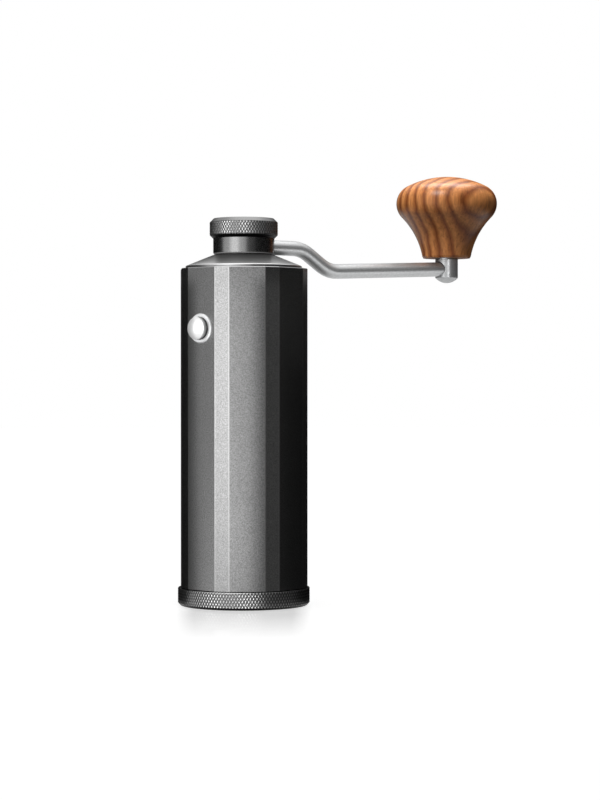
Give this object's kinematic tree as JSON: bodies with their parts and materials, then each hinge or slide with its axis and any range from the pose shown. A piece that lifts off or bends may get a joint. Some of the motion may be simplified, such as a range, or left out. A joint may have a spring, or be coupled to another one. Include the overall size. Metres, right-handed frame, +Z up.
{
  "type": "hand crank coffee grinder",
  "caption": "Slim hand crank coffee grinder: faceted metal body, lift-off lid with bent steel crank and wooden knob, burr core, pull-off grounds cup, side push button.",
  "frame": {"origin": "on the grinder's axis, in the plane of the face it stands on", "axes": "+Z up the axis, -Y out of the front wide facet, the crank at rest 32 degrees from +X towards +Y"},
  "size_m": [0.1358, 0.1025, 0.1739],
  "materials": {
    "anodised_body": "bead-blasted dark grey anodised",
    "anodised_trim": "dark grey anodised, knurled on the cap and base",
    "core_aluminium": "machined, natural",
    "cup_aluminium": "bead-blasted dark grey anodised",
    "satin_steel": "satin stainless",
    "burr_steel": "ground tool steel",
    "bearing_steel": "polished bearing steel",
    "spring_steel": "bright spring steel",
    "chrome": "polished chrome plate",
    "bronze": "plain bearing bronze",
    "wood": "oiled walnut",
    "seal_rubber": "black silicone",
    "bush_plastic": "black acetal"
  },
  "bodies": {
    "casing": {"casing_shell": "anodised_body", "core_sleeve": "core_aluminium", "upper_bracket": "core_aluminium", "burr_carrier": "core_aluminium", "outer_burr": "burr_steel", "burr_retaining_ring": "burr_steel", "upper_bearing_outer_race": "bearing_steel", "lower_bearing_outer_race": "bearing_steel", "button_bezel": "chrome", "button_spring": "spring_steel"},
    "lid": {"lid_cover": "anodised_trim", "lid_o_ring": "seal_rubber", "lid_bush": "bush_plastic"},
    "crank": {"crank_hub": "anodised_trim", "hub_washer": "spring_steel", "hub_circlip": "spring_steel", "crank_cap": "anodised_trim", "crank_arm": "satin_steel", "arm_grub_screw": "spring_steel", "knob_spindle": "satin_steel", "spindle_snap_ring": "spring_steel", "knob_washer": "spring_steel"},
    "knob": {"knob_grip": "wood", "knob_bushing": "bronze"},
    "shaft": {"drive_shaft": "satin_steel", "upper_bearing_inner_race": "bearing_steel", "lower_bearing_inner_race": "bearing_steel", "upper_bearing_balls": "bearing_steel", "lower_bearing_balls": "bearing_steel", "shaft_circlip": "spring_steel", "burr_drive_pin": "satin_steel", "burr_spring": "spring_steel", "end_clip": "spring_steel"},
    "burr": {"inner_burr": "burr_steel"},
    "dial": {"adjust_dial": "core_aluminium", "click_ball": "bearing_steel", "click_spring": "spring_steel"},
    "cup": {"grounds_cup": "cup_aluminium", "base_ring": "anodised_trim", "cup_o_ring": "seal_rubber"},
    "button": {"release_button": "chrome", "latch_nose": "spring_steel"}
  },
  "joints": [
    {"name": "lid_lift", "type": "slide", "parent": "casing", "child": "lid", "axis": [0, 0, 1], "range_m": [0, 0.045]},
    {"name": "crank_turn", "type": "hinge", "parent": "lid", "child": "crank", "pos_m": [0, 0, 0.141], "axis": [0, 0, 1], "continuous": true},
    {"name": "shaft_turn", "type": "hinge", "parent": "casing", "child": "shaft", "pos_m": [0, 0, 0.095], "axis": [0, 0, 1], "continuous": true},
    {"name": "knob_spin", "type": "hinge", "parent": "crank", "child": "knob", "pos_m": [0.08862, 0.05538, 0.15], "axis": [0, 0, 1], "continuous": true},
    {"name": "burr_shift", "type": "slide", "parent": "shaft", "child": "burr", "axis": [0, 0, 1], "range_m": [-0.00075, 0.00025], "deforming": ["burr_spring"]},
    {"name": "dial_turn", "type": "hinge", "parent": "burr", "child": "dial", "pos_m": [0, 0, 0.043], "axis": [0, 0, 1], "range_deg": [-360, 120]},
    {"name": "cup_pull", "type": "slide", "parent": "casing", "child": "cup", "axis": [0, 0, -1], "range_m": [0, 0.05]},
    {"name": "button_press", "type": "slide", "parent": "casing", "child": "button", "axis": [0.7071, 0.7071, 0], "range_m": [0, 0.0016], "stiffness_N_per_m": 1500, "springref_m": -0.0008, "deforming": ["button_spring"]}
  ],
  "couplings": [
    {"joint": "shaft_turn", "follows": "crank_turn", "ratio": 1},
    {"joint": "dial_turn", "follows": "burr_shift", "rad_per_m": 8377.6}
  ]
}
